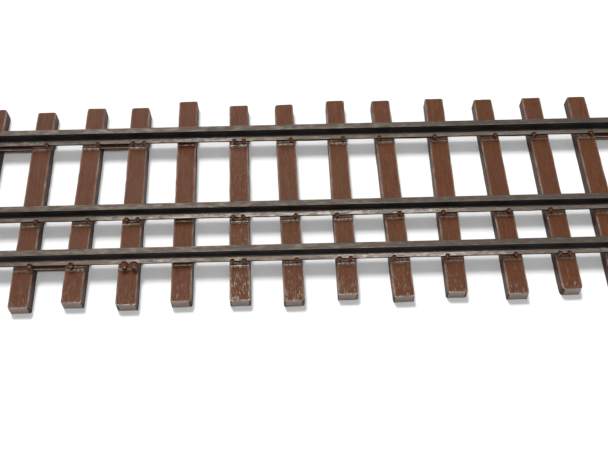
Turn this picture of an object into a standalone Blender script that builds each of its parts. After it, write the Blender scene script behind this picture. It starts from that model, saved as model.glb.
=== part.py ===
"""Straight section of dual-gauge flexible model track, 1:87 scale.

Three rails of one height share the ties: the common rail, the narrow-gauge rail and the standard-gauge rail.
They slide under moulded spike heads on two plastic tie strips, and each has a folded joiner at its +X end.
Metres, +Z up, +X along the rails, z = 0 on the undersides of the ties, origin in the middle of the whole box.
"""

import math

import bmesh
import bpy

MM = 0.001

# Driving dimensions
RAIL_LENGTH = 150 * MM
STANDARD_GAUGE = 16.5 * MM
NARROW_GAUGE = 10.5 * MM
TIES_PER_STRIP = 12
TIE_LENGTH = 28.4 * MM
TIE_WIDTH = 2.45 * MM
TIE_HEIGHT = 1.5 * MM
TIE_CHAMFER = 0.12 * MM
PLATE_HEIGHT = 0.25 * MM
RUNNING_GAP = 0.04 * MM  # between a rail and what it slides in

# Rail section: code 70, so 0.070 inch high
RAIL_HEIGHT = 1.78 * MM
FOOT_WIDTH = 1.65 * MM
FOOT_EDGE = 0.20 * MM
FOOT_RISE = 0.25 * MM
HEAD_WIDTH = 0.80 * MM
HEAD_DEPTH = 0.42 * MM
HEAD_SLOPE = 0.10 * MM
HEAD_CORNER = 0.07 * MM
WEB_WIDTH = 0.42 * MM
HEAD_CORNER_STEPS = 3

# Tie plates and spikes, measured outward from the rail's centre line
PLATE_PAST_FOOT = 0.68 * MM
PLATE_NARROWER = 0.15 * MM  # on each side of the tie
PLATE_TAPER = 0.06 * MM
PLATE_ROOT = 0.75 * MM  # its hidden bottom, above the tie's underside
SPIKE_WIDTH = 0.50 * MM
SPIKE_POST = 0.33 * MM
SPIKE_OVERHANG = 0.22 * MM  # of the head over the foot
SPIKE_HEAD_GAP = 0.06 * MM
SPIKE_HEAD_TOP = 0.64 * MM  # above the tie plate
SPIKE_SHOULDER = 0.14 * MM
SPIKE_ROOT = 0.75 * MM  # its hidden bottom, below the tie plate's top

# Webs that hold the ties of a strip together, under the rails
WEB_LOW, WEB_HIGH = 0.90 * MM, 1.30 * MM
NARROW_STRIP_WEB = 0.60 * MM
WIDE_STRIP_WEB = 1.90 * MM

# Rail joiners: a folded sheet that grips the foot, half on the rail at rest
JOINER_LENGTH = 7.6 * MM
JOINER_SHEET = 0.15 * MM
JOINER_LIP_END = 0.36 * MM  # from the rail's centre line

# Places that follow from the driving dimensions
STRIP_LENGTH = RAIL_LENGTH / 2
TIE_PITCH = STRIP_LENGTH / TIES_PER_STRIP
PLATE_TOP = TIE_HEIGHT + PLATE_HEIGHT
RAIL_BASE = PLATE_TOP + RUNNING_GAP
START_X = -(RAIL_LENGTH + JOINER_LENGTH / 2) / 2
STRIP_START = {"tie_strip_a": START_X, "tie_strip_b": START_X + STRIP_LENGTH}
COMMON_Y = (STANDARD_GAUGE + HEAD_WIDTH) / 2
RAIL_Y = {
    "common": COMMON_Y,
    "narrow": COMMON_Y - NARROW_GAUGE - HEAD_WIDTH,
    "standard": -COMMON_Y,
}

# How each tie departs from an even one: shift along, shift across, longer by (mm), turn (degrees)
TIE_CHARACTER = (
    (0.10, -0.15, -0.1, 1.1),
    (-0.15, -0.25, 0.1, 1.7),
    (0.00, 0.30, -0.1, 0.7),
    (-0.15, 0.00, 0.2, 1.5),
    (0.15, 0.25, -0.1, -0.3),
    (0.50, -0.10, 0.0, 0.9),
    (0.50, 0.15, -0.3, 0.6),
    (0.10, 0.00, 0.0, 0.4),
    (0.25, -0.50, -0.3, 0.5),
    (0.15, 0.00, -0.3, -0.4),
    (-0.15, -0.25, 0.1, 0.6),
    (-0.25, 0.30, 0.7, 0.8),
)
# Spikes on the -Y side of the common, narrow and standard rails, along the tie's width (mm).
# The last tie has none.
SPIKE_PLACES = (
    ((-0.5, 0.7), (-0.7, 0.5), (-0.8, 0.6)),
    ((0.7,), (0.7,), (0.5,)),
    ((0.65,), (-0.7,), (-0.8, 0.5)),
    ((-0.7,), (0.6,), (-0.7,)),
    ((-0.6,), (-0.7,), (-0.8,)),
    ((0.6,), (0.5,), (0.3,)),
    ((-0.8,), (-0.8,), (-0.8, 0.3)),
    ((0.5,), (0.6,), (0.6,)),
    ((0.8,), (0.85,), (0.9,)),
    ((0.9,), (0.9,), (-0.4,)),
    ((-0.5, 0.85), (-0.5, 0.8), (-0.35, 0.75)),
    ((), (), ()),
)
# Gaps, counted from 0, whose web stands out past the foot of one outer rail
WIDE_WEBS = {7: "common", 8: "standard", 9: "common"}


def clear_scene():
    for obj in list(bpy.data.objects):
        bpy.data.objects.remove(obj, do_unlink=True)


def make_material(name, colour, roughness, metallic):
    material = bpy.data.materials.new(name)
    material.use_nodes = True
    shader = material.node_tree.nodes["Principled BSDF"]
    shader.inputs["Base Color"].default_value = (*colour, 1.0)
    shader.inputs["Roughness"].default_value = roughness
    shader.inputs["Metallic"].default_value = metallic
    return material


def make_object(name, bm, material):
    """An object from bm, with its faces pointing out."""
    bmesh.ops.recalc_face_normals(bm, faces=bm.faces)
    mesh = bpy.data.meshes.new(name)
    bm.to_mesh(mesh)
    bm.free()
    mesh.materials.append(material)
    obj = bpy.data.objects.new(name, mesh)
    bpy.context.scene.collection.objects.link(obj)
    return obj


def add_prism(bm, outline, place):
    """Extrudes a closed outline; place(point, end) gives the corner of that point at end 0 or 1."""
    ends = [[bm.verts.new(place(point, end)) for point in outline] for end in (0, 1)]
    bm.faces.new(ends[0])
    bm.faces.new(reversed(ends[1]))
    for i in range(len(outline)):
        j = (i + 1) % len(outline)
        bm.faces.new((ends[0][j], ends[0][i], ends[1][i], ends[1][j]))


def mirrored(half):
    """A closed outline from its +Y half, listed from the bottom up."""
    return half + [(-y, z) for y, z in reversed(half)]


def turned(x, y, centre, angle):
    return (
        centre[0] + x * math.cos(angle) - y * math.sin(angle),
        centre[1] + x * math.sin(angle) + y * math.cos(angle),
    )


def foot_top(y):
    """Height of the foot's sloping top above the rail's base, at a distance from the centre line."""
    slope = FOOT_RISE / (FOOT_WIDTH / 2 - WEB_WIDTH / 2)
    return FOOT_EDGE + (FOOT_WIDTH / 2 - y) * slope


def rail_section():
    """Half of the rail's section, from its base up to the middle of its head."""
    head = HEAD_WIDTH / 2
    web = WEB_WIDTH / 2
    under_head = RAIL_HEIGHT - HEAD_DEPTH
    points = [
        (FOOT_WIDTH / 2, 0),
        (FOOT_WIDTH / 2, FOOT_EDGE),
        (web, FOOT_EDGE + FOOT_RISE),
        (web, under_head - HEAD_SLOPE),
        (head, under_head),
    ]
    for step in range(HEAD_CORNER_STEPS + 1):
        angle = math.pi / 2 * step / HEAD_CORNER_STEPS
        points.append(
            (
                head - HEAD_CORNER * (1 - math.cos(angle)),
                RAIL_HEIGHT - HEAD_CORNER * (1 - math.sin(angle)),
            )
        )
    return points


def make_rail(name, y, material):
    """The rail's mesh runs from x = 0; its object stands at the rail's first end, on the rail's base."""
    bm = bmesh.new()
    add_prism(bm, mirrored(rail_section()), lambda p, end: (end * RAIL_LENGTH, p[0], p[1]))
    rail = make_object(name, bm, material)
    rail.location = (START_X, y, RAIL_BASE)
    return rail


def offset_path(points, distance):
    """The open path moved sideways by distance, to the right of its direction, with mitred corners."""
    normals = []
    for (y0, z0), (y1, z1) in zip(points, points[1:]):
        length = math.hypot(y1 - y0, z1 - z0)
        normals.append(((z1 - z0) / length, -(y1 - y0) / length))
    moved = []
    for i, (y, z) in enumerate(points):
        before = normals[max(i - 1, 0)]
        after = normals[min(i, len(normals) - 1)]
        cosine = before[0] * after[0] + before[1] * after[1]
        reach = distance / (1 + cosine)
        moved.append((y + (before[0] + after[0]) * reach, z + (before[1] + after[1]) * reach))
    return moved


def joiner_section():
    """The closed outline of the folded sheet, a running gap away from the foot all round."""
    foot = [
        (0, 0),
        (FOOT_WIDTH / 2, 0),
        (FOOT_WIDTH / 2, FOOT_EDGE),
        (JOINER_LIP_END, foot_top(JOINER_LIP_END)),
    ]
    inner = offset_path(foot, RUNNING_GAP)[1:]
    outer = offset_path(foot, RUNNING_GAP + JOINER_SHEET)[1:]
    inside = [(-y, z) for y, z in reversed(inner)] + inner
    outside = [(-y, z) for y, z in reversed(outer)] + outer
    return outside + inside[::-1]


def make_joiner(name, rail, material):
    """A joiner rides on its rail, half of it past the rail's +X end."""
    bm = bmesh.new()
    add_prism(bm, joiner_section(), lambda p, end: ((end - 0.5) * JOINER_LENGTH, p[0], p[1]))
    joiner = make_object(name, bm, material)
    joiner.parent = rail
    joiner.location = (RAIL_LENGTH, 0, 0)
    return joiner


def add_tie(bm, centre, length, angle):
    """One tie: a bar with its two long top edges chamfered."""
    side = TIE_WIDTH / 2
    outline = [
        (-side, 0),
        (side, 0),
        (side, TIE_HEIGHT - TIE_CHAMFER),
        (side - TIE_CHAMFER, TIE_HEIGHT),
        (TIE_CHAMFER - side, TIE_HEIGHT),
        (-side, TIE_HEIGHT - TIE_CHAMFER),
    ]
    add_prism(
        bm,
        outline,
        lambda p, end: (*turned(p[0], (end - 0.5) * length, centre, angle), p[1]),
    )


def add_plate(bm, centre, angle):
    """One tie plate: a low pad, a little smaller at its top, rooted inside the tie."""
    across = FOOT_WIDTH / 2 + PLATE_PAST_FOOT
    along = TIE_WIDTH / 2 - PLATE_NARROWER
    corners = ((-1, -1), (1, -1), (1, 1), (-1, 1))

    def place(corner, end):
        inset = end * PLATE_TAPER
        x, y = corner[0] * (along - inset), corner[1] * (across - inset)
        return (*turned(x, y, centre, angle), PLATE_TOP if end else PLATE_ROOT)

    add_prism(bm, corners, place)


def add_spike(bm, x, rail_y, side):
    """One spike: a post beside the foot, rooted in the tie, whose head reaches over the foot."""
    inner = FOOT_WIDTH / 2 + RUNNING_GAP
    outer = inner + SPIKE_POST
    tip = FOOT_WIDTH / 2 - SPIKE_OVERHANG
    under = RUNNING_GAP + SPIKE_HEAD_GAP
    outline = [
        (inner, -SPIKE_ROOT),
        (outer, -SPIKE_ROOT),
        (outer, SPIKE_HEAD_TOP - SPIKE_SHOULDER),
        (outer - SPIKE_SHOULDER, SPIKE_HEAD_TOP),
        (tip, SPIKE_HEAD_TOP),
        (tip, under + foot_top(tip)),
        (inner, under + FOOT_EDGE),
    ]
    add_prism(
        bm,
        outline,
        lambda p, end: (x + (end - 0.5) * SPIKE_WIDTH, rail_y + side * p[0], PLATE_TOP + p[1]),
    )


def add_strip_web(bm, x0, x1, rail_y, width):
    """A bar of plastic from one tie's middle to the next one's, under a rail."""
    low, high = rail_y - width / 2, rail_y + width / 2
    outline = [(low, WEB_LOW), (high, WEB_LOW), (high, WEB_HIGH), (low, WEB_HIGH)]
    add_prism(bm, outline, lambda p, end: (x1 if end else x0, p[0], p[1]))


def tie_places(start):
    """Centre, length and turn of each tie of the strip that starts at x = start."""
    places = []
    for number, (along, across, longer, turn) in enumerate(TIE_CHARACTER):
        x = start + (number + 0.5) * TIE_PITCH + along * MM
        places.append(((x, across * MM), TIE_LENGTH + longer * MM, math.radians(turn)))
    return places


def strip_webs(gap):
    """Rail and width of each web in one gap: under the narrow rail, and by turns under the outer two."""
    outer = "common" if gap % 2 else "standard"
    webs = {"narrow": NARROW_STRIP_WEB, outer: NARROW_STRIP_WEB}
    if gap in WIDE_WEBS:
        webs[WIDE_WEBS[gap]] = WIDE_STRIP_WEB
    return webs


def make_strip(name, material):
    """One moulding: its ties, with the webs, plates and spikes joined to them."""
    places = tie_places(STRIP_START[name])
    ties = bmesh.new()
    fittings = bmesh.new()
    for (centre, length, angle), rows in zip(places, SPIKE_PLACES):
        add_tie(ties, centre, length, angle)
        for rail_y, row in zip(RAIL_Y.values(), rows):
            if not row:
                continue
            middle = turned(0, rail_y - centre[1], centre, angle)
            add_plate(fittings, middle, angle)
            for offset in row:
                add_spike(fittings, middle[0] + offset * MM, rail_y, -1)
                add_spike(fittings, middle[0] - offset * MM, rail_y, 1)
    for gap, (left, right) in enumerate(zip(places, places[1:])):
        for rail, width in strip_webs(gap).items():
            add_strip_web(fittings, left[0][0], right[0][0], RAIL_Y[rail], width)

    strip = make_object(name, ties, material)
    helper = make_object(name + "_fittings", fittings, material)
    helper.hide_render = True
    helper.display_type = "WIRE"
    union = strip.modifiers.new("join fittings", "BOOLEAN")
    union.operation = "UNION"
    union.object = helper
    union.use_self = True
    return strip


def main():
    clear_scene()
    strip_plastic = make_material("tie_plastic", (0.16, 0.075, 0.045), 0.55, 0.0)
    rail_metal = make_material("rail_metal", (0.30, 0.26, 0.21), 0.38, 1.0)
    joiner_metal = make_material("joiner_metal", (0.42, 0.39, 0.34), 0.32, 1.0)

    for name in STRIP_START:
        make_strip(name, strip_plastic)
    for gauge, y in RAIL_Y.items():
        rail = make_rail(gauge + "_rail", y, rail_metal)
        make_joiner(gauge + "_rail_joiner", rail, joiner_metal)


main()
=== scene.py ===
"""Looks of the dual-gauge track section, round the CAD frame.

Two grained tie strips, three weathered rails and three folded joiners each replace a CAD solid of the same
place and size. The meshes carry attributes for wear and painted light, cut ends and the rails' painted
corner highlight, painted glint flecks and grain, which the materials read.
Metres, +Z up, +X along the rails; the camera looks along +Y from above.
"""

import math

import bpy
import numpy as np
from mathutils import Matrix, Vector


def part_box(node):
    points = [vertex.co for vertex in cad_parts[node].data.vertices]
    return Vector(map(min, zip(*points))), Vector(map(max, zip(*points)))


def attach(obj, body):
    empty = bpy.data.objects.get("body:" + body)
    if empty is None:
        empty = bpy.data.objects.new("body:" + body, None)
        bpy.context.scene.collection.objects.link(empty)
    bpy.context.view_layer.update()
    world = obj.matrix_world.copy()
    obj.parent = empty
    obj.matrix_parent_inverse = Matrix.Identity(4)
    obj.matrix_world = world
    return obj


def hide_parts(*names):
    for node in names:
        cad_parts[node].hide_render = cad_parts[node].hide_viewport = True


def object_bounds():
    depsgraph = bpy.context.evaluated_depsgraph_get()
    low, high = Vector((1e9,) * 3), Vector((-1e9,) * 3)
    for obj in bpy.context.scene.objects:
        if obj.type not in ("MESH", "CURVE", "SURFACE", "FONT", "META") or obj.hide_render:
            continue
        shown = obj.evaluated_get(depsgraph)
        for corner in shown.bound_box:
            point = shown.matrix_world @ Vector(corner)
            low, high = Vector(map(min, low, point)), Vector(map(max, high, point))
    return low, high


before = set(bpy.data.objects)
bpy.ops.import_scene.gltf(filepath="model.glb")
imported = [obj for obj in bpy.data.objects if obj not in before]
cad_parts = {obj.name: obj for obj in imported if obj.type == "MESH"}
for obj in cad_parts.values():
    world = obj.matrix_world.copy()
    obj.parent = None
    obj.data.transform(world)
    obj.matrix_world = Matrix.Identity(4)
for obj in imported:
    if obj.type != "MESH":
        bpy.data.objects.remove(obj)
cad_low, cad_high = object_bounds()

MM = 0.001
STRIPS = ("tie_strip_a", "tie_strip_b")
RAILS = ("common", "narrow", "standard")
TIES = 12

# Sizes that the CAD solids carry
RAIL_LOW, RAIL_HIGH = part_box("common_rail")
RAIL_HEIGHT = RAIL_HIGH.z - RAIL_LOW.z
RAIL_BASE = RAIL_LOW.z
FOOT_WIDTH = RAIL_HIGH.y - RAIL_LOW.y
START_X = RAIL_LOW.x
STRIP_LENGTH = (RAIL_HIGH.x - RAIL_LOW.x) / 2
TIE_PITCH = STRIP_LENGTH / TIES
RAIL_Y = {name: sum(corner.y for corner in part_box(name + "_rail")) / 2 for name in RAILS}
RUNNING_GAP = 0.04 * MM
PLATE_TOP = RAIL_BASE - RUNNING_GAP
PLATE_HEIGHT = 0.25 * MM
TIE_HEIGHT = PLATE_TOP - PLATE_HEIGHT
TIE_LENGTH = 28.4 * MM
TIE_WIDTH = 2.45 * MM
PLATE_PAST_FOOT = 0.68 * MM
WEB_LOW, WEB_HIGH = 0.90 * MM, 1.30 * MM
NARROW_STRIP_WEB = 0.60 * MM
WIDE_STRIP_WEB = 1.90 * MM
JOINER_SHEET = 0.15 * MM

# The moulding's irregular ties: shift along, shift across, longer by (mm), turn (degrees)
TIE_CHARACTER = (
    (0.10, -0.15, -0.1, 1.1),
    (-0.15, -0.25, 0.1, 1.7),
    (0.00, 0.30, -0.1, 0.7),
    (-0.15, 0.00, 0.2, 1.5),
    (0.15, 0.25, -0.1, -0.3),
    (0.50, -0.10, 0.0, 0.9),
    (0.50, 0.15, -0.3, 0.6),
    (0.10, 0.00, 0.0, 0.4),
    (0.25, -0.50, -0.3, 0.5),
    (0.15, 0.00, -0.3, -0.4),
    (-0.15, -0.25, 0.1, 0.6),
    (-0.25, 0.30, 0.7, 0.8),
)
# Spikes on the -Y side of the common, narrow and standard rails, along the tie's width (mm);
# the last tie is plain and has none
SPIKE_PLACES = (
    ((-0.5, 0.7), (-0.7, 0.5), (-0.8, 0.6)),
    ((0.7,), (0.7,), (0.5,)),
    ((0.65,), (-0.7,), (-0.8, 0.5)),
    ((-0.7,), (0.6,), (-0.7,)),
    ((-0.6,), (-0.7,), (-0.8,)),
    ((0.6,), (0.5,), (0.3,)),
    ((-0.8,), (-0.8,), (-0.8, 0.3)),
    ((0.5,), (0.6,), (0.6,)),
    ((0.8,), (0.85,), (0.9,)),
    ((0.9,), (0.9,), (-0.4,)),
    ((-0.5, 0.85), (-0.5, 0.8), (-0.35, 0.75)),
    ((), (), ()),
)
# The gaps between ties, counted from 0, that have a wide web, and the rail that it lies under
WIDE_WEBS = {7: "common", 8: "standard", 9: "common"}
# Spike heads that came out of the mould larger: tie and rail, counted from 0, and how much wider
SWOLLEN_SPIKES = {(8, 2): 1.25, (9, 2): 1.30, (10, 2): 1.60}
FAR_SPIKE_SIZE = 0.85  # of the spikes on the rails' +Y side

# How strongly each tie's near end is flecked with painted glints, how far the flecks reach (mm),
# and how worn the edges of its plates are, which also sets their painted highlights
TIE_GLINTS_AND_WEAR = (
    (1.5, 4.0, 1.3),
    (0.9, 2.0, 1.0),
    (0.8, 1.2, 1.1),
    (0.8, 1.6, 0.8),
    (0.6, 2.0, 0.5),
    (0.55, 1.0, 0.4),
    (0.8, 0.6, 0.35),
    (0.8, 1.0, 0.5),
    (0.3, 1.2, 0.6),
    (0.5, 1.0, 1.0),
    (0.4, 1.0, 1.0),
    (0.45, 1.5, 1.0),
)

CAMERA_PLACE = (8.04 * MM, -59.18 * MM, 89.55 * MM)
CAMERA_DOWN, CAMERA_TURN, CAMERA_ROLL = 58.36, -1.085, -0.456  # degrees
CAMERA_LENS = 51.7


# ---------------------------------------------------------------- mesh code


class Shells:
    """Closed shells gathered into one mesh, with a material index and float attributes on each."""

    # Of these, wear also carries painted highlights and painted shade, and rough carries painted glints
    ATTRIBUTES = ("tone", "wear", "end", "rough")

    def __init__(self):
        self.points = []
        self.faces = []
        self.materials = []
        self.values = {name: [] for name in self.ATTRIBUTES}
        self.grain = []
        self.count = 0

    def add(self, rings, material=0, grain=None, **values):
        """Lofts the rings, an array of shape (rings, points, 3), and caps both ends.

        The material is an index, or one for each face round a ring with the caps' own last.
        The grain gives each point's place in its piece's wood or metal grain.
        """
        rings = np.asarray(rings, float)
        rows, size = rings.shape[:2]
        first = self.count + np.arange(rows * size).reshape(rows, size)
        here, after = first[:-1], first[1:]
        quads = np.stack([here, np.roll(here, -1, 1), np.roll(after, -1, 1), after], -1).reshape(-1, 4)
        faces = quads.tolist() + [first[0, ::-1].tolist(), first[-1].tolist()]
        if enclosed_volume(rings.reshape(-1, 3), [[i - self.count for i in face] for face in faces]) < 0:
            faces = [face[::-1] for face in faces]
        self.points.append(rings.reshape(-1, 3))
        self.faces += faces
        around = np.broadcast_to(material, size + 1)
        self.materials += np.tile(around[:-1], rows - 1).tolist() + [int(around[-1])] * 2
        self.grain.append(rings.reshape(-1, 3) if grain is None else np.asarray(grain).reshape(-1, 3))
        for name in self.ATTRIBUTES:
            value = values.get(name, 0.0)
            self.values[name].append(np.broadcast_to(value, (rows, size)).reshape(-1))
        self.count += rows * size

    def make(self, name, materials, sharp=38):
        mesh = bpy.data.meshes.new(name)
        mesh.from_pydata(np.concatenate(self.points).tolist(), [], self.faces)
        for attribute, parts in self.values.items():
            layer = mesh.attributes.new(attribute, "FLOAT", "POINT")
            layer.data.foreach_set("value", np.concatenate(parts).astype(np.float32))
        layer = mesh.attributes.new("grain", "FLOAT_VECTOR", "POINT")
        layer.data.foreach_set("vector", np.concatenate(self.grain).astype(np.float32).reshape(-1))
        for material in materials:
            mesh.materials.append(material)
        mesh.polygons.foreach_set("material_index", self.materials)
        mesh.shade_smooth()
        mesh.set_sharp_from_angle(angle=math.radians(sharp))
        obj = bpy.data.objects.new(name, mesh)
        bpy.context.scene.collection.objects.link(obj)
        return obj


def enclosed_volume(points, faces):
    """Signed volume inside the faces, from a fan on each."""
    total = 0.0
    for face in faces:
        corners = points[face]
        fan = np.cross(corners[1:-1], corners[2:])
        total += np.einsum("ij,ij->", fan, np.broadcast_to(corners[0], fan.shape))
    return total


LATTICE = 64  # the noise repeats after this many cells


def value_noise(seed, u, v):
    """Smooth noise from 0 to 1 over the plane, one lattice cell a unit, its own for each seed."""
    lattice = np.random.default_rng(seed).random((LATTICE, LATTICE))
    u, v = np.broadcast_arrays(np.asarray(u, float), np.asarray(v, float))
    iu, iv = np.floor(u).astype(int), np.floor(v).astype(int)
    fu, fv = u - iu, v - iv
    fu, fv = fu * fu * (3 - 2 * fu), fv * fv * (3 - 2 * fv)

    def at(du, dv):
        return lattice[(iu + du) % LATTICE, (iv + dv) % LATTICE]

    low = at(0, 0) * (1 - fu) + at(1, 0) * fu
    high = at(0, 1) * (1 - fu) + at(1, 1) * fu
    return low * (1 - fv) + high * fv


def rounded_outline(corners, radii, steps=4):
    """A closed outline with each corner replaced by an arc of its own radius."""
    points = []
    corners = np.asarray(corners, float)
    for i, (corner, radius) in enumerate(zip(corners, radii)):
        if radius == 0:
            points.append(corner)
            continue
        to_last = corners[i - 1] - corner
        to_next = corners[(i + 1) % len(corners)] - corner
        to_last /= np.linalg.norm(to_last)
        to_next /= np.linalg.norm(to_next)
        half = math.acos(float(np.clip(to_last @ to_next, -1, 1))) / 2
        start = corner + to_last * radius / math.tan(half)
        middle = corner + (to_last + to_next) / np.linalg.norm(to_last + to_next) * radius / math.sin(half)
        arm = start - middle
        turn = math.pi - 2 * half
        side = 1 if arm[0] * to_last[1] - arm[1] * to_last[0] < 0 else -1
        for step in range(steps + 1):
            angle = side * turn * step / steps
            c, s = math.cos(angle), math.sin(angle)
            points.append(middle + (arm[0] * c - arm[1] * s, arm[0] * s + arm[1] * c))
    return np.array(points)


def turned(points, centre, angle):
    """Points turned about +Z and moved from the origin to centre."""
    c, s = math.cos(angle), math.sin(angle)
    x, y = points[..., 0], points[..., 1]
    return np.stack([centre[0] + x * c - y * s, centre[1] + x * s + y * c, points[..., 2]], -1)


# ---------------------------------------------------------------- tie strips

TOP, SIDE, SPIKE = range(3)  # the strip's materials; SIDE is the top's plastic darkened as painted shade
TIE_TOP_STEPS = 24
TIE_SIDE_STEPS = 4
TIE_BOTTOM_STEPS = 3
TIE_CORNER_STEPS = 3
TIE_ROW_STEP = 0.36 * MM
TIE_EDGE_RADIUS = 0.09 * MM
TIE_END_RADIUS = 0.09 * MM
TIE_END_ROWS = np.array([0, 0.02, 0.05, 0.09, 0.14, 0.20, 0.28]) * MM
EDGE_REACH = {0: 1, 1: 0.4}  # how far the edges' wear and painted highlight reach the top's outermost points
END_RIM = 0.14 * MM  # the rim round a tie's cut end, worn and lightened as painted highlight
FULL_GLINT_FLECKS = 0.8 * MM  # the painted glint flecks are at their strongest up to here from the near end
EVEN_GLINT_FLECKS = 0.10  # what is left of them over the rest of the tie


def tie_ring():
    """The tie's section as arrays of x, z, outward x, outward z, upper, edge and the way round it.

    Upper is 1 on the top and its rounded edges, and edge is 1 on those edges.
    """
    half, radius = TIE_WIDTH / 2, TIE_EDGE_RADIUS
    flat, shoulder = half - radius, TIE_HEIGHT - radius
    rows = []
    for i in range(TIE_BOTTOM_STEPS + 1):
        rows.append((-half + TIE_WIDTH * i / TIE_BOTTOM_STEPS, 0, 0, -1, 0, 0))
    for i in range(1, TIE_SIDE_STEPS + 1):
        rows.append((half, shoulder * i / TIE_SIDE_STEPS, 1, 0, 0, i == TIE_SIDE_STEPS))
    for i in range(1, TIE_CORNER_STEPS):
        angle = math.pi / 2 * i / TIE_CORNER_STEPS
        c, s = math.cos(angle), math.sin(angle)
        rows.append((flat + radius * c, shoulder + radius * s, c, s, 1, 1))
    for i in range(TIE_TOP_STEPS + 1):
        from_side = min(i, TIE_TOP_STEPS - i)
        x = flat - 2 * flat * i / TIE_TOP_STEPS
        rows.append((x, TIE_HEIGHT, 0, 1, 1, EDGE_REACH.get(from_side, 0)))
    for i in range(1, TIE_CORNER_STEPS):
        angle = math.pi / 2 * (1 + i / TIE_CORNER_STEPS)
        c, s = math.cos(angle), math.sin(angle)
        rows.append((-flat + radius * c, shoulder + radius * s, c, s, 1, 1))
    for i in range(TIE_SIDE_STEPS):
        rows.append((-half, shoulder * (1 - i / TIE_SIDE_STEPS), -1, 0, 0, i == 0))
    ring = np.array(rows, float).T
    step = np.hypot(*(ring[:2] - np.roll(ring[:2], 1, axis=1)))
    step[0] = 0
    return (*ring, np.cumsum(step))


def tie_rows(length):
    """Places along the tie, closer together round its ends."""
    ends = TIE_END_ROWS
    inner_end = length / 2 - ends[-1]
    inner = np.linspace(-inner_end, inner_end, int(length / TIE_ROW_STEP))
    return np.concatenate([-length / 2 + ends[:-1], inner, length / 2 - ends[-2::-1]])


def grain_depth(seed, u, v, from_end):
    """How far the moulded wood grain lies under the tie's surface, at u across and v along.

    Each layer of it has its own cell, in mm across and along the tie, and the grain is deeper near the ends.
    """
    wander = 0.20 * MM * (value_noise(seed + 1, v / (3.4 * MM), 0.5) - 0.5)
    across = u + wander
    broad = value_noise(seed + 2, across / (0.55 * MM), v / (7.0 * MM))
    fine = value_noise(seed + 3, across / (0.19 * MM), v / (3.2 * MM))
    crack = np.clip((value_noise(seed + 4, across / (0.24 * MM), v / (5.5 * MM)) - 0.84) / 0.16, 0, 1)
    pit = np.clip((value_noise(seed + 5, u / (0.22 * MM), v / (0.50 * MM)) - 0.88) / 0.12, 0, 1)
    rough = 1 + 1.3 * np.exp(-from_end / (1.8 * MM))
    return rough * MM * (0.008 * broad + 0.016 * fine + 0.030 * crack) + 0.022 * MM * pit


def rounding(distance, radius):
    """How far a rounded edge draws back, at a distance from where it ends."""
    back = np.clip(1 - distance / radius, 0, 1)
    return radius * (1 - np.sqrt(1 - back**2))


def add_tie(shells, seed, centre, length, angle, glint_flecks, reach):
    """One tie: a grained bar with worn edges lightened partly as painted highlight, round corners and a few
    chips.

    Narrow gathers, along each side, how far the uneven width, the round corners and the chips draw it in.
    """
    x, z, out_x, out_z, upper, edge, arc = tie_ring()
    v = tie_rows(length)[:, None]
    from_end = length / 2 - np.abs(v)
    random = np.random.default_rng(seed)

    narrow = {}
    for side in (-1, 1):
        narrow[side] = 0.04 * MM * value_noise(seed + 7 + side, v / (1.5 * MM), 0.3)
        for end in (-1, 1):
            from_this = length / 2 - end * v
            corner = random.uniform(0.09, 0.20 if end < 0 else 0.30) * MM
            chip = max(0.0, random.uniform(-0.30, 0.22)) * MM
            chip_reach = random.uniform(0.25, 0.6) * MM
            narrow[side] = narrow[side] + rounding(from_this, corner)
            narrow[side] = narrow[side] + chip * np.clip(1 - from_this / chip_reach, 0, 1) ** 2
    end_round = rounding(from_end, TIE_END_RADIUS)

    depth = grain_depth(seed, x[None], v, from_end) * (0.7 + 0.2 * glint_flecks)
    side_depth = 0.6 * grain_depth(seed + 20, z[None], v, from_end)
    edge_wear = 0.07 * MM * value_noise(seed + 11, v / (0.8 * MM), 5 * np.sign(x)[None])
    inward = np.where(x > 0, narrow[1], narrow[-1])
    px = x - np.sign(x) * inward * np.abs(x) / (TIE_WIDTH / 2)
    px = px - out_x * (side_depth + edge * edge_wear * 0.5)
    pz = z - np.clip(out_z, 0, 1) * depth - upper * end_round - edge * upper * edge_wear * 0.5
    pz = np.where(z == 0, 0, np.maximum(pz, 0.02 * MM))
    py = np.broadcast_to(v, px.shape)

    # The worn rim and edges, lightened partly as painted highlight
    rim = np.clip(1 - from_end / END_RIM, 0, 1)
    rubbed_and_lit = 0.28 + 0.65 * value_noise(seed + 12, v / (0.9 * MM), 3 * np.sign(x)[None])
    rim_rubbed_and_lit = 0.6 + 0.8 * value_noise(seed + 13, x[None] / (0.3 * MM), 0.2)
    wear = edge * rubbed_and_lit + 1.2 * rim * upper * rim_rubbed_and_lit
    # Painted glints flecking the near end, fading along the tie
    from_near_end = length / 2 + v
    fading = np.exp(-np.maximum(from_near_end - FULL_GLINT_FLECKS, 0) / (reach * MM))
    rough = glint_flecks * (EVEN_GLINT_FLECKS + (1 - EVEN_GLINT_FLECKS) * fading)
    # The end faces, paled as painted light in the material
    end = np.where(from_end < 0.01 * MM, 1.0, 0.0)
    grain = np.stack(np.broadcast_arrays(arc[None], v, seed * 0.37 * MM), -1)
    rings = turned(np.stack([px, py, pz], -1), centre, angle)
    # The sides take the SIDE plastic, darkened as painted shade
    on_side = (out_x != 0) & (out_z == 0) & (z < TIE_HEIGHT - 2 * TIE_EDGE_RADIUS)
    sides = np.append(np.where(on_side | np.roll(on_side, -1), SIDE, TOP), TOP)
    shells.add(rings, sides, grain, tone=random.random(), wear=wear, end=end, rough=rough)


PLATE_ROWS = 21
PLATE_SIDE_GAP = 0.15 * MM  # from the plate's ends to the tie's sides
PLATE_END_RADIUS = 0.07 * MM
PLATE_ROOT = 0.35 * MM  # its hidden bottom, under the plate's top
RIDGE_STEPS = 4


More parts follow.
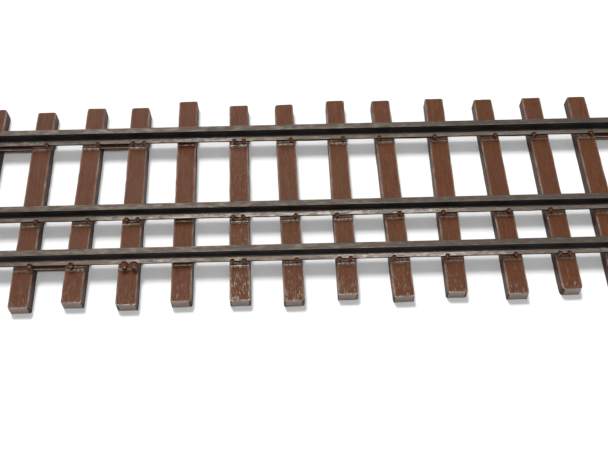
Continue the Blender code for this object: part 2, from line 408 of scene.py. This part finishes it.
def plate_section():
    """Half of a tie plate's section: distance from the rail's centre, height over the plate (mm) and wear,
    which also sets painted highlights.

    It runs from inside the tie up the ragged edge, over the ridge beside the foot and in under the rail.
    """
    across = FOOT_WIDTH / 2 + PLATE_PAST_FOOT
    shoulder = FOOT_WIDTH / 2 + RUNNING_GAP
    section = [
        (across, -0.35, 0),
        (across, -0.235, 0.2),
        (across - 0.02 * MM, -0.20, 0.8),
        (across - 0.08 * MM, -0.12, 0.5),
        (across - 0.15 * MM, -0.03, 0.8),
        (across - 0.18 * MM, -0.004, 1.4),
        (across - 0.22 * MM, 0.0, 1.2),
        (across - 0.28 * MM, -0.006, 0.3),
        (shoulder + 0.20 * MM, -0.010, 0),
        (shoulder + 0.16 * MM, 0.01, 0.1),
    ]
    for step in range(RIDGE_STEPS + 1):
        angle = math.pi * step / RIDGE_STEPS
        y = shoulder + (0.08 + 0.06 * math.cos(angle)) * MM
        section.append((y, 0.035 + 0.055 * math.sin(angle), 0.9))
    section += [(shoulder, 0.0, 0), (shoulder * 0.5, -0.01, 0)]
    return section


def add_plate(shells, seed, centre, angle, worn_and_lit):
    """One tie plate: a low pad with a ragged worn edge, and a shoulder ridge along each side of the foot,
    both lightened partly as painted highlight.
    """
    half = plate_section()
    section = np.array(half + [(-y, z, w) for y, z, w in reversed(half)])
    reach = TIE_WIDTH / 2 - PLATE_SIDE_GAP
    inner = np.linspace(-0.9, 0.9, PLATE_ROWS)
    places = np.concatenate([[-1, -0.985, -0.95], inner, [0.95, 0.985, 1]]) * reach
    x = places[:, None]
    y = np.broadcast_to(section[:, 0], (len(places), len(section)))
    wear = np.broadcast_to(section[:, 2], y.shape)
    inset = rounding(reach - np.abs(x), PLATE_END_RADIUS)
    ragged = value_noise(seed + 31, x / (0.12 * MM), np.sign(y) * 3 + y / (0.3 * MM)) - 0.4
    past_ridge = np.abs(y) > FOOT_WIDTH / 2 + 0.3 * MM
    out = np.abs(y) - 0.5 * inset * past_ridge - 0.030 * MM * ragged * wear
    z = PLATE_TOP + section[:, 1] * MM - inset - 0.020 * MM * wear * np.abs(ragged)
    z = np.where(section[:, 1] == section[0, 1], PLATE_TOP - PLATE_ROOT, z)
    rings = turned(np.stack(np.broadcast_arrays(x, np.sign(y) * out, z), -1), centre, angle)
    tone = np.random.default_rng(seed).random()
    # The edge and ridge, worn and lightened as painted highlight
    rubbed_and_lit = worn_and_lit * wear * np.clip(0.7 + 1.4 * ragged, 0, 1.3)
    # rough 0.6 gives the plates painted glint flecks
    shells.add(rings, TOP, tone=tone, wear=rubbed_and_lit, rough=0.6)


# Height over the tie and distance from the rail's centre line of the plain tie's low lip (mm), with its wear
# and painted highlight
LIP_SECTION = (
    (-0.20, 1.04, 0.0),
    (0.01, 1.02, 0.4),
    (0.055, 0.97, 1.4),
    (0.055, 0.91, 1.4),
    (0.01, 0.87, 0.6),
    (-0.20, 0.85, 0.0),
)


def add_lip(shells, seed, centre, angle, side):
    """A low worn lip across the plain tie, beside a rail's foot and low enough for a joiner to pass over,
    its edge lightened partly as painted highlight.
    """
    height, out, wear = np.array(LIP_SECTION).T
    reach = TIE_WIDTH / 2 - PLATE_SIDE_GAP
    x = np.linspace(-reach, reach, PLATE_ROWS)[:, None]
    ragged = value_noise(seed + 51, x / (0.16 * MM), out / 0.2)
    # The worn edge, lightened as painted highlight
    rubbed_and_lit = wear * np.clip(1.6 * ragged, 0.2, 1.2)
    z = TIE_HEIGHT + (height - 0.03 * wear * ragged) * MM
    y = np.broadcast_to(side * out * MM, z.shape)
    rings = turned(np.stack(np.broadcast_arrays(x, y, z), -1), centre, angle)
    shells.add(rings, TOP, tone=0.5, wear=rubbed_and_lit)


SPIKE_SEGMENTS = 14
# Height above the plate, radius and distance from the rail's centre line of each ring of a spike (mm)
SPIKE_RINGS = (
    (-0.32, 0.20, 1.06),
    (0.04, 0.20, 1.06),
    (0.30, 0.18, 1.055),
    (0.37, 0.235, 0.975),
    (0.43, 0.275, 0.935),
    (0.50, 0.275, 0.925),
    (0.57, 0.225, 0.92),
    (0.615, 0.14, 0.92),
    (0.635, 0.05, 0.92),
)


def add_spike(shells, seed, x, rail_y, side, size):
    """One spike: a round post beside the foot, under a domed head that reaches over it."""
    random = np.random.default_rng(seed)
    lean = random.uniform(-0.05, 0.05, 2)
    swell = size * random.uniform(0.95, 1.08)
    circle = np.linspace(0, 2 * math.pi, SPIKE_SEGMENTS, endpoint=False)
    rings = []
    for height, radius, reach in SPIKE_RINGS:
        r = radius * swell
        middle_x = lean[0] * max(height, 0)
        y = reach - radius + r + r * np.sin(circle)
        ring_x = middle_x + r * np.cos(circle)
        z = np.full_like(y, PLATE_TOP + height * MM)
        rings.append(np.stack([x + ring_x * MM, rail_y + side * y * MM, z], -1))
    shells.add(rings, SPIKE, tone=random.random())


WEB_ROWS = 13
WEB_EDGE_RADIUS = 0.10 * MM
WEB_NARROWING = 0.05 * MM  # where it enters a tie
WEB_UNEVENNESS = 0.02 * MM


def add_strip_web(shells, seed, x0, x1, rail_y, width):
    """A bar of plastic from one tie to the next, under a rail, with its upper edges lightened as painted
    highlight.
    """
    half = width / 2
    corners = [(-half, WEB_LOW), (half, WEB_LOW), (half, WEB_HIGH), (-half, WEB_HIGH)]
    outline = rounded_outline(corners, [WEB_EDGE_RADIUS] * 4, 3)
    height = outline[:, 1]
    rings = []
    for along in np.linspace(0, 1, WEB_ROWS):
        x = x0 + (x1 - x0) * along
        uneven = WEB_UNEVENNESS * (value_noise(seed, x / (1.1 * MM), 0.7) - 0.5)
        wider = WEB_NARROWING * (math.sin(math.pi * along) ** 2 - 1) + uneven
        y = rail_y + outline[:, 0] * (1 + wider / half)
        rings.append(np.column_stack([np.full(len(outline), x), y, height]))
    # The upper edges, lightened as painted highlight
    on_arc = (height > WEB_HIGH - 0.9 * WEB_EDGE_RADIUS) & (height < WEB_HIGH - 0.01 * WEB_EDGE_RADIUS)
    rubbed_and_lit = np.where(on_arc, 1.2, 0.0)
    # The sides take the SIDE plastic, darkened as painted shade
    middle = (height + np.roll(height, -1)) / 2
    on_side = np.abs(middle - (WEB_LOW + WEB_HIGH) / 2) < 0.01 * MM
    sides = np.append(np.where(on_side, SIDE, TOP), TOP)
    shells.add(np.array(rings), sides, tone=0.4, wear=rubbed_and_lit[None])


def tie_places(start):
    """Centre, length and turn of each tie of the strip that starts at x = start."""
    for number, (along, across, longer, turn) in enumerate(TIE_CHARACTER):
        x = start + (number + 0.5) * TIE_PITCH + along * MM
        yield (x, across * MM), TIE_LENGTH + longer * MM, math.radians(turn)


def strip_webs(gap):
    """The webs in one gap between ties: the width of each, by the rail that it lies under."""
    outer = "common" if gap % 2 else "standard"
    webs = {"narrow": NARROW_STRIP_WEB, outer: NARROW_STRIP_WEB}
    if gap in WIDE_WEBS:
        webs[WIDE_WEBS[gap]] = WIDE_STRIP_WEB
    return webs


def make_strip(index, materials):
    """One moulded strip of ties with its webs, plates and spikes."""
    node = STRIPS[index]
    shells = Shells()
    places = list(tie_places(START_X + index * STRIP_LENGTH))
    for number, ((centre, length, angle), rows) in enumerate(zip(places, SPIKE_PLACES)):
        seed = 1000 * (index + 1) + 40 * number
        glint_flecks, reach, worn_and_lit = TIE_GLINTS_AND_WEAR[number]
        add_tie(shells, seed, centre, length, angle, glint_flecks, reach)
        for rail, (rail_y, row) in enumerate(zip(RAIL_Y.values(), rows)):
            along = rail_y - centre[1]
            middle = (centre[0] - along * math.sin(angle), centre[1] + along * math.cos(angle))
            if not row:
                add_lip(shells, seed + rail, middle, angle, -1)
                add_lip(shells, seed + rail + 5, middle, angle, 1)
                continue
            add_plate(shells, seed + rail, middle, angle, worn_and_lit)
            size = SWOLLEN_SPIKES.get((number, rail), 1.0)
            for k, offset in enumerate(row):
                near, far = middle[0] + offset * MM, middle[0] - offset * MM
                add_spike(shells, seed + 5 * rail + k, near, rail_y, -1, size)
                add_spike(shells, seed + 17 + 5 * rail + k, far, rail_y, 1, FAR_SPIKE_SIZE)
    for gap, (left, right) in enumerate(zip(places, places[1:])):
        for rail, width in strip_webs(gap).items():
            add_strip_web(shells, 77 + gap, left[0][0], right[0][0], RAIL_Y[rail], width)
    strip = shells.make(node + "_moulding", materials)
    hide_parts(node)
    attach(strip, node)
    return strip


# ---------------------------------------------------------------- rails

RAIL_ROWS = 76
RAIL_CHAMFER = 0.025 * MM  # round the sawn ends
FIRST_ROW = 0.6 * MM  # from either end
FOOT_TOP = (0.185 * MM, 0.42 * MM)  # the heights between which the foot's bare top lies, clear of the painted shade
HEAD_TOP_DEPTH = 0.05 * MM  # below the top, where the head's bare face, clear of the painted shade, begins
MIDDLE_OF_WEB = 0.8 * MM
HEAD_HIGHLIGHT_SHARE = 0.15  # the head's share of the scuffs and painted highlights, where the foot's is 1; it also darkens the head's top as painted shade


def rail_outline():
    """The rolled section, with fillets where the foot, web and head meet, and a slightly crowned head."""
    foot, head, web = FOOT_WIDTH / 2, 0.40 * MM, 0.21 * MM
    top = RAIL_HEIGHT
    half = [
        ((foot, 0), 0.05),
        ((foot, 0.20 * MM), 0.06),
        ((foot - 0.32 * MM, 0.33 * MM), 0.0),
        ((foot - 0.49 * MM, 0.40 * MM), 0.0),
        ((web, 0.45 * MM), 0.08),
        ((web, 1.26 * MM), 0.10),
        ((head, 1.36 * MM), 0.05),
        ((head, top), 0.09),
        ((0.16 * MM, top + 0.004 * MM), 0.0),
    ]
    mirror = [((-y, z), r) for (y, z), r in reversed(half)]
    corners, radii = zip(*(half + mirror))
    outline = rounded_outline(corners, [r * MM for r in radii], 4)
    outline[:, 1] = np.clip(outline[:, 1], 0, top)
    return outline


def painted_shade_faces(outline):
    """Material of each face: 0 on the head's top, the foot's top and the sawn ends, 1 on the ones painted
    dark as shade.
    """
    height = (outline[:, 1] + np.roll(outline[:, 1], -1)) / 2
    foot_top = (height > FOOT_TOP[0]) & (height < FOOT_TOP[1])
    return np.append(np.where(foot_top | (height > RAIL_HEIGHT - HEAD_TOP_DEPTH), 0, 1), 0)


def painted_shade_cover(outline):
    """How much painted shade lies round the rail's outline: 1 on the web, 0 where the metal is bare."""
    height = outline[:, 1]
    above_foot = np.clip((height - 0.33 * MM) / (0.07 * MM), 0, 1)
    below_foot = np.clip((0.21 * MM - height) / (0.03 * MM), 0, 1)
    on_foot = np.clip(above_foot + below_foot, 0, 1)
    on_head = np.clip((RAIL_HEIGHT - height) / HEAD_TOP_DEPTH, 0, 1)
    return np.where(height < MIDDLE_OF_WEB, on_foot, on_head)


def make_rail(gauge, materials):
    """One rail: drawn bar with sawn ends, faintly uneven along its length."""
    node = gauge + "_rail"
    low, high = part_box(node)
    outline = rail_outline()
    seed = 300 + RAILS.index(gauge)
    inner = np.linspace(low.x + FIRST_ROW, high.x - FIRST_ROW, RAIL_ROWS)
    places = [low.x, low.x + RAIL_CHAMFER, *inner, high.x - RAIL_CHAMFER, high.x]
    rings = []
    for i, x in enumerate(places):
        sawn = i in (0, len(places) - 1)
        around = outline.copy()
        if sawn:
            centre = np.array([0, RAIL_HEIGHT / 2])
            around = centre + (around - centre) * (1 - RAIL_CHAMFER / (0.5 * RAIL_HEIGHT))
        else:
            uneven = value_noise(seed, x / (4.3 * MM), np.arange(len(outline)) * 0.37) - 0.5
            around[:, 0] *= 1 - 0.006 * np.abs(uneven)
        y, z = RAIL_Y[gauge] + around[:, 0], low.z + around[:, 1]
        rings.append(np.column_stack([np.full(len(around), x), y, z]))
    shells = Shells()
    # How bare of the painted shade each point is; the sawn ends are bare
    bare_of_painted_shade = np.tile(1 - painted_shade_cover(outline), (len(places), 1))
    bare_of_painted_shade[[0, -1]] = 1
    # Scuffs and painted highlights on the foot, with the head's small share
    scuffs_and_highlights = np.where(outline[:, 1] < MIDDLE_OF_WEB, 1.0, HEAD_HIGHLIGHT_SHARE)
    # Painted highlight along the head's top corners
    corner = np.clip(1 - np.abs(outline[:, 1] - RAIL_HEIGHT + 0.022 * MM) / (0.03 * MM), 0, 1)
    shells.add(np.array(rings), painted_shade_faces(outline), wear=bare_of_painted_shade, rough=scuffs_and_highlights, end=corner)
    rail = shells.make(node + "_bar", materials, sharp=60)
    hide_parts(node)
    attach(rail, node)
    return rail


# ---------------------------------------------------------------- joiners

FOOT_SLOPE = 0.25 / (0.825 - 0.21)  # of the foot's top: its rise over its reach from the edge to the web
JOINER_LIP = 0.36 * MM  # from the rail's centre line to the lip's end
JOINER_ROWS = (0, 0.02, 0.25, 0.5, 0.9, 2, 3.8, 5.6, 6.7, 7.1, 7.35, 7.58, 7.6)  # mm along it
MOUTH_OPENING = 0.03 * MM
MOUTH_LENGTH = 0.6  # mm


def offset_path(points, distance):
    """The open path moved to the right of its direction, with mitred corners."""
    step = np.diff(points, axis=0)
    normal = np.column_stack([step[:, 1], -step[:, 0]]) / np.linalg.norm(step, axis=1)[:, None]
    before, after = np.vstack([normal[:1], normal]), np.vstack([normal, normal[-1:]])
    reach = distance / (1 + np.einsum("ij,ij->i", before, after))
    return points + (before + after) * reach[:, None]


def joiner_path():
    """Half of the outline that the sheet wraps: from under the foot's middle, round it, to the lip's end."""
    foot = FOOT_WIDTH / 2
    edge = 0.20 * MM
    corners = [(0, 0), (foot, 0), (foot, edge), (JOINER_LIP, edge + (foot - JOINER_LIP) * FOOT_SLOPE)]
    return rounded_outline(corners, [0, 0.05 * MM, 0.05 * MM, 0], 4)


def make_joiner(gauge, material):
    """One folded sheet joiner, its lips opened a little at both mouths."""
    node = gauge + "_rail_joiner"
    low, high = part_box(node)
    half = joiner_path()
    inner = offset_path(half, RUNNING_GAP)[1:]
    outer = offset_path(half, RUNNING_GAP + JOINER_SHEET)[1:]
    mirror = np.array([-1, 1])
    outline = np.vstack([outer[::-1] * mirror, outer, inner[::-1], inner * mirror])
    length = high.x - low.x
    rings = []
    for along in JOINER_ROWS:
        x = low.x + length * along / JOINER_ROWS[-1]
        mouth = min(along, JOINER_ROWS[-1] - along)
        open_by = MOUTH_OPENING * max(0.0, 1 - mouth / MOUTH_LENGTH) ** 2
        ring = outline.copy()
        lifted = np.clip(ring[:, 1] / (0.3 * MM), 0, 1)
        ring[:, 1] += open_by * lifted
        if mouth < 0.01:
            middle = np.array([0, 0.2 * MM])
            ring = middle + (ring - middle) * 0.995
        y, z = RAIL_Y[gauge] + ring[:, 0], RAIL_BASE + ring[:, 1]
        rings.append(np.column_stack([np.full(len(ring), x), y, z]))
    shells = Shells()
    shells.add(np.array(rings), 0)
    joiner = shells.make(node + "_sheet", [material])
    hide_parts(node)
    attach(joiner, node)
    return joiner


# ---------------------------------------------------------------- materials


class Nodes:
    """A material's node tree, built with short calls."""

    def __init__(self, name):
        self.material = bpy.data.materials.new(name)
        self.material.use_nodes = True
        self.tree = self.material.node_tree
        self.shader = self.tree.nodes["Principled BSDF"]
        self.place = self.tree.nodes.new("ShaderNodeTexCoord").outputs["Object"]
        self.grain = self.attribute("grain", "Vector")

    def put(self, socket, value):
        """Sets an input to a number or colour, or links it to another node's output."""
        if isinstance(value, bpy.types.NodeSocket):
            self.tree.links.new(value, socket)
        elif isinstance(value, tuple) and len(socket.default_value) == 4 and len(value) == 3:
            socket.default_value = (*value, 1.0)
        else:
            socket.default_value = value

    def set(self, **values):
        """Sets the shader's own inputs."""
        for name, value in values.items():
            self.put(self.shader.inputs[name.replace("_", " ")], value)

    def math(self, operation, a, b=0.0, clamp=False):
        node = self.tree.nodes.new("ShaderNodeMath")
        node.operation = operation
        node.use_clamp = clamp
        self.put(node.inputs[0], a)
        self.put(node.inputs[1], b)
        return node.outputs[0]

    def span(self, value, low, high, to_low=0.0, to_high=1.0):
        """Maps low..high smoothly to to_low..to_high."""
        node = self.tree.nodes.new("ShaderNodeMapRange")
        node.interpolation_type = "SMOOTHSTEP"
        for socket, number in zip(node.inputs, (value, low, high, to_low, to_high)):
            self.put(socket, number)
        return node.outputs[0]

    def mix(self, factor, a, b, blend="MIX"):
        node = self.tree.nodes.new("ShaderNodeMix")
        node.data_type = "RGBA"
        node.blend_type = blend
        self.put(node.inputs["Factor"], factor)
        self.put([s for s in node.inputs if s.name == "A" and s.type == "RGBA"][0], a)
        self.put([s for s in node.inputs if s.name == "B" and s.type == "RGBA"][0], b)
        return [s for s in node.outputs if s.type == "RGBA"][0]

    def noise(self, per_metre, detail=2.0, rough=0.5, distortion=0.0, grain=False, shift=0.0):
        """Noise with the given cells per metre along X, Y and Z of the piece, or of its grain.

        It is moved along the piece by shift, towards -X.
        """
        mapping = self.tree.nodes.new("ShaderNodeMapping")
        mapping.inputs["Location"].default_value[0] = shift * per_metre[0]
        mapping.inputs["Scale"].default_value = per_metre
        self.tree.links.new(self.grain if grain else self.place, mapping.inputs["Vector"])
        node = self.tree.nodes.new("ShaderNodeTexNoise")
        node.inputs["Scale"].default_value = 1.0
        node.inputs["Detail"].default_value = detail
        node.inputs["Roughness"].default_value = rough
        node.inputs["Distortion"].default_value = distortion
        self.tree.links.new(mapping.outputs[0], node.inputs["Vector"])
        return node.outputs["Fac"]

    def attribute(self, name, output="Fac"):
        node = self.tree.nodes.new("ShaderNodeAttribute")
        node.attribute_name = name
        return node.outputs[output]

    def bump(self, height, depth, below=None):
        """A bump of the given depth, on top of the one below it."""
        node = self.tree.nodes.new("ShaderNodeBump")
        node.inputs["Distance"].default_value = depth
        self.tree.links.new(height, node.inputs["Height"])
        if below is not None:
            self.tree.links.new(below, node.inputs["Normal"])
        return node.outputs[0]


def tie_plastic(name, specular, shade):
    """Red-brown plastic moulded as weathered wood: fine grain lines, rubbed edges lightened partly as
    painted highlight, painted glints flecking the near ends, cut ends paled as painted light, and a shade
    that darkens the sides' copy as painted shade.
    """
    dark_brown, brown, light_brown = (0.074, 0.0198, 0.0056), (0.098, 0.031, 0.0096), (0.136, 0.050, 0.0205)
    grey_brown, deep_brown = (0.096, 0.039, 0.0165), (0.071, 0.024, 0.0088)
    # The fleck colour is painted glint; the end colour is painted light
    glint_fleck_colour, painted_light_end = (0.40, 0.32, 0.265), (0.235, 0.186, 0.157)
    # Edge colours: wear, lightened further toward near white as painted highlight
    rubbed_edge_and_highlight, edge_highlight = (0.40, 0.32, 0.26), (0.80, 0.74, 0.68)
    n = Nodes(name)
    tone, wear, end, rough = (n.attribute(name) for name in ("tone", "wear", "end", "rough"))
    lines = n.noise((5200, 260, 5200), 3, 0.6, distortion=0.3, grain=True)
    fine = n.noise((11000, 900, 11000), 2, 0.6, grain=True)
    blotches = n.noise((240, 150, 240), 3, 0.55)
    speckle = n.noise((8000, 8000, 8000), 2, 0.7)
    glint_flecks = n.noise((6400, 1700, 6400), 2, 0.6, distortion=0.7, grain=True)

    colour = n.mix(n.span(lines, 0.34, 0.66), dark_brown, brown)
    colour = n.mix(n.span(fine, 0.36, 0.68, 0.0, 0.30), colour, light_brown)
    colour = n.mix(n.span(blotches, 0.44, 0.66, 0.0, 0.30), colour, grey_brown)
    colour = n.mix(n.span(tone, 0.0, 1.0, 0.0, 0.30), colour, deep_brown)
    # Painted glints flecking the grain, strongest at the near end
    glint_crests = n.math("MULTIPLY", n.span(glint_flecks, 0.53, 0.66), n.span(fine, 0.38, 0.54, 0.30, 1.0))
    painted_glints = n.math("MULTIPLY", rough, glint_crests)
    colour = n.mix(n.math("MULTIPLY", painted_glints, 0.70, clamp=True), colour, glint_fleck_colour)
    # Worn edges and rims, lightened as painted highlight
    rubbed_and_lit = n.math("MULTIPLY", wear, n.span(speckle, 0.36, 0.58, 0.20, 1.0))
    colour = n.mix(n.math("MULTIPLY", rubbed_and_lit, 0.70, clamp=True), colour, rubbed_edge_and_highlight)
    colour = n.mix(n.span(rubbed_and_lit, 0.75, 1.3), colour, edge_highlight)
    # The tie's ends paled as painted light
    colour = n.mix(n.math("MULTIPLY", end, n.span(speckle, 0.3, 0.7, 0.70, 1.0)), colour, painted_light_end)
    # shade below 1 darkens this copy as painted shade
    colour = n.mix(1.0, colour, (shade, shade, shade), "MULTIPLY")

    shine = n.math("SUBTRACT", n.span(fine, 0.35, 0.65, 0.52, 0.40), n.math("MULTIPLY", rubbed_and_lit, 0.14))
    roughness = n.math("ADD", shine, n.math("MULTIPLY", end, 0.2))
    n.set(Base_Color=colour, Roughness=roughness, Specular_IOR_Level=specular)
    grooves = n.bump(lines, 0.016 * MM)
    threads = n.bump(fine, 0.007 * MM, grooves)
    pits = n.math("MULTIPLY", speckle, n.span(rough, 0.0, 1.0, 0.35, 1.0))
    n.set(Normal=n.bump(pits, 0.012 * MM, threads))
    return n.material


def spike_plastic():
    """The same plastic where it was moulded smooth: redder and glossier."""
    n = Nodes("spike_plastic")
    speckle = n.noise((5200, 5200, 5200), 3, 0.6)
    colour = n.mix(n.span(speckle, 0.35, 0.65), (0.072, 0.021, 0.0070), (0.115, 0.039, 0.0150))
    n.set(Base_Color=colour, Roughness=n.span(speckle, 0.3, 0.7, 0.24, 0.38), Specular_IOR_Level=0.5)
    n.set(Normal=n.bump(speckle, 0.010 * MM))
    return n.material


SCUFF_HIGHLIGHT_SHIFT = 17 * MM  # puts the scuffs and painted highlights of the rails' feet to the left of the camera
# The near-black colour painted as shade on the rails' web, head sides and under the foot
PAINTED_SHADE_COLOUR = (0.022, 0.019, 0.018)


def rail_metal():
    """Weathered nickel silver where the painted shade leaves it bare: drawn lengthwise, mottled, with glint
    specks, scuffs and a corner line lightened as painted highlight, the head's top darkened as painted
    shade, and the painted shade's near-black film at its edges.
    """
    dull, drawn = (0.175, 0.136, 0.106), (0.255, 0.208, 0.170)
    mottled, stained = (0.36, 0.31, 0.27), (0.150, 0.117, 0.090)
    glint_speck_colour, scuff_highlight, corner_highlight_colour = (0.52, 0.48, 0.44), (0.56, 0.52, 0.48), (0.50, 0.46, 0.42)
    n = Nodes("rail_metal")
    lines = n.noise((60, 8000, 8000), 4, 0.65)
    mottle = n.noise((900, 2600, 2600), 4, 0.6)
    broad = n.noise((80, 350, 350), 3, 0.5)
    glint_specks = n.noise((4200, 6000, 6000), 2, 0.7)
    colour = n.mix(n.span(lines, 0.32, 0.68), dull, drawn)
    colour = n.mix(n.span(mottle, 0.50, 0.72, 0.0, 0.55), colour, mottled)
    colour = n.mix(n.span(broad, 0.38, 0.62, 0.0, 0.45), colour, stained)
    # Bright specks painted as glints
    colour = n.mix(n.span(glint_specks, 0.62, 0.74, 0.0, 0.5), colour, glint_speck_colour)

    # rough: the share of scuffs and painted highlights, 1 on the foot; it also sets the head's painted shade
    on_foot = n.attribute("rough")
    patches = n.span(n.noise((38, 150, 150), 2, 0.5, shift=SCUFF_HIGHLIGHT_SHIFT), 0.54, 0.68)
    scratches = n.span(n.noise((1300, 5200, 5200), 3, 0.65), 0.42, 0.64)
    scuffed_and_lit = n.math("MULTIPLY", n.math("MULTIPLY", patches, scratches), on_foot)
    colour = n.mix(n.math("MULTIPLY", scuffed_and_lit, 0.60), colour, scuff_highlight)
    # Painted highlight along the head's top corners
    on_corner = n.attribute("end")
    corner_highlight = n.math("MULTIPLY", on_corner, n.span(mottle, 0.40, 0.62, 0.15, 0.60))
    colour = n.mix(corner_highlight, colour, corner_highlight_colour)

    # The head's top darkened as painted shade, against the foot
    painted_head_shade = n.mix(n.span(on_foot, 0.2, 0.9), (0.79, 0.78, 0.77), (1.0, 1.0, 1.0))
    colour = n.mix(1.0, colour, painted_head_shade, "MULTIPLY")
    # Painted shade: the near-black film wherever the metal is not bare
    uneven = n.span(mottle, 0.35, 0.65, -0.15, 0.15)
    painted_shade_film = n.math("ADD", n.math("SUBTRACT", 0.85, n.attribute("wear")), uneven)
    colour = n.mix(n.span(painted_shade_film, 0.15, 0.85), colour, PAINTED_SHADE_COLOUR)
    n.set(Base_Color=colour, Metallic=0.9, Roughness=n.span(mottle, 0.3, 0.7, 0.56, 0.38))
    n.set(Normal=n.bump(mottle, 0.012 * MM, n.bump(lines, 0.006 * MM)))
    return n.material


def rail_painted_shade():
    """Painted shade on the web, the head's sides and under the foot: a near-black film, lighter in places.
    """
    n = Nodes("rail_painted_shade")
    lines = n.noise((80, 5000, 5000), 3, 0.6)
    worn_and_lit = n.noise((700, 1800, 1800), 4, 0.65)
    colour = n.mix(n.span(lines, 0.3, 0.7), (0.010, 0.009, 0.009), PAINTED_SHADE_COLOUR)
    colour = n.mix(n.span(worn_and_lit, 0.58, 0.74, 0.0, 0.5), colour, (0.055, 0.045, 0.038))
    roughness = n.span(worn_and_lit, 0.3, 0.7, 0.70, 0.50)
    n.set(Base_Color=colour, Metallic=0.0, Roughness=roughness, Specular_IOR_Level=0.12)
    n.set(Normal=n.bump(lines, 0.005 * MM))
    return n.material


def joiner_metal():
    """Bright rolled sheet with fine scratches and a few dull patches."""
    n = Nodes("joiner_metal")
    scratches = n.noise((300, 12000, 12000), 4, 0.7, distortion=0.2)
    patches = n.noise((900, 900, 900), 3, 0.55)
    colour = n.mix(n.span(patches, 0.40, 0.66), (0.50, 0.46, 0.40), (0.30, 0.265, 0.22))
    n.set(Base_Color=colour, Metallic=1.0, Roughness=n.span(scratches, 0.3, 0.7, 0.24, 0.42))
    n.set(Normal=n.bump(scratches, 0.004 * MM))
    return n.material


# ---------------------------------------------------------------- stage

FLOOR_REACH = 20  # metres
FLOOR_GAP = 0.01 * MM  # under the ties
ROOM_LIGHT, BACKDROP_LIGHT = 0.30, 1.0
ROOM_COLOUR = (0.97, 0.985, 1.0, 1.0)


def make_floor():
    """A plain pale floor under the ties."""
    mesh = bpy.data.meshes.new("floor")
    far = FLOOR_REACH
    mesh.from_pydata([(-far, -far, 0), (far, -far, 0), (far, far, 0), (-far, far, 0)], [], [(0, 1, 2, 3)])
    n = Nodes("floor_paper")
    fibres = n.noise((2600, 2600, 2600), 3, 0.6)
    colour = n.mix(fibres, (0.86, 0.86, 0.86), (0.89, 0.89, 0.89))
    n.set(Base_Color=colour, Roughness=0.85, Specular_IOR_Level=0.2)
    mesh.materials.append(n.material)
    floor = bpy.data.objects.new("floor", mesh)
    floor.location.z = cad_low.z - FLOOR_GAP
    bpy.context.scene.collection.objects.link(floor)


def aim_light(data, azimuth, elevation, distance):
    """A light aimed at the track; azimuth 0 is beyond it, along +Y, and 90 is at +X."""
    turn, rise = math.radians(azimuth), math.radians(elevation)
    level = math.cos(rise)
    outward = np.array([math.sin(turn) * level, math.cos(turn) * level, math.sin(rise)])
    right = np.cross(-outward, (0, 0, 1))
    right /= np.linalg.norm(right)
    up = np.cross(right, -outward)
    light = bpy.data.objects.new(data.name, data)
    light.rotation_euler = Matrix((right, up, outward)).transposed().to_euler()
    light.location = outward * distance
    bpy.context.scene.collection.objects.link(light)
    return light


def make_panel(name, azimuth, elevation, distance, size, watts):
    """A round soft panel."""
    data = bpy.data.lights.new(name, "AREA")
    data.shape = "DISK"
    data.size = size
    data.energy = watts
    aim_light(data, azimuth, elevation, distance)


def make_key(name, azimuth, elevation, spread, strength):
    """A far key light, which lights the whole floor evenly and shows in no reflection."""
    data = bpy.data.lights.new(name, "SUN")
    data.angle = math.radians(spread)
    data.energy = strength
    aim_light(data, azimuth, elevation, 1.0).visible_glossy = False


def make_room():
    """An even light from all round, and past the floor's edge a backdrop as pale as the floor."""
    world = bpy.data.worlds.new("soft_room")
    bpy.context.scene.world = world
    world.use_nodes = True
    tree = world.node_tree
    background = tree.nodes["Background"]
    background.inputs["Color"].default_value = ROOM_COLOUR
    seen = tree.nodes.new("ShaderNodeLightPath").outputs["Is Camera Ray"]
    strength = tree.nodes.new("ShaderNodeMapRange")
    strength.inputs["To Min"].default_value = ROOM_LIGHT
    strength.inputs["To Max"].default_value = BACKDROP_LIGHT
    tree.links.new(seen, strength.inputs["Value"])
    tree.links.new(strength.outputs[0], background.inputs["Strength"])


def make_lights():
    """The key and a haze beyond the track, a soft lamp behind the camera, and the room."""
    make_key("key_beyond", -20, 62, spread=13.3, strength=2.48)
    make_panel("haze_panel", -16, 53, distance=2.1, size=1.0, watts=6.1)
    make_panel("front_lamp", 178, 66, distance=0.9, size=0.135, watts=2.34)
    make_room()
    bpy.context.scene.view_settings.view_transform = "Standard"


def make_camera():
    """The camera, at the photograph's angle."""
    data = bpy.data.cameras.new("camera")
    data.lens = CAMERA_LENS
    data.sensor_width = 36
    data.clip_start = 1 * MM
    data.clip_end = 10
    camera = bpy.data.objects.new("camera", data)
    turn = Matrix.Rotation(math.radians(CAMERA_TURN), 4, "Z")
    tilt = Matrix.Rotation(math.radians(90 - CAMERA_DOWN), 4, "X")
    roll = Matrix.Rotation(math.radians(CAMERA_ROLL), 4, "Z")
    camera.matrix_world = Matrix.Translation(CAMERA_PLACE) @ turn @ tilt @ roll
    bpy.context.scene.collection.objects.link(camera)
    bpy.context.scene.camera = camera


def main():
    make_camera()
    make_lights()
    make_floor()
    top = tie_plastic("tie_top_plastic", specular=0.4, shade=1.0)
    # The sides' copy, darkened as painted shade
    side = tie_plastic("tie_side_painted_shade", specular=0.10, shade=0.50)
    ties = [top, side, spike_plastic()]
    for index in range(len(STRIPS)):
        make_strip(index, ties)
    metals, bright = [rail_metal(), rail_painted_shade()], joiner_metal()
    for gauge in RAILS:
        make_rail(gauge, metals)
        make_joiner(gauge, bright)


main()
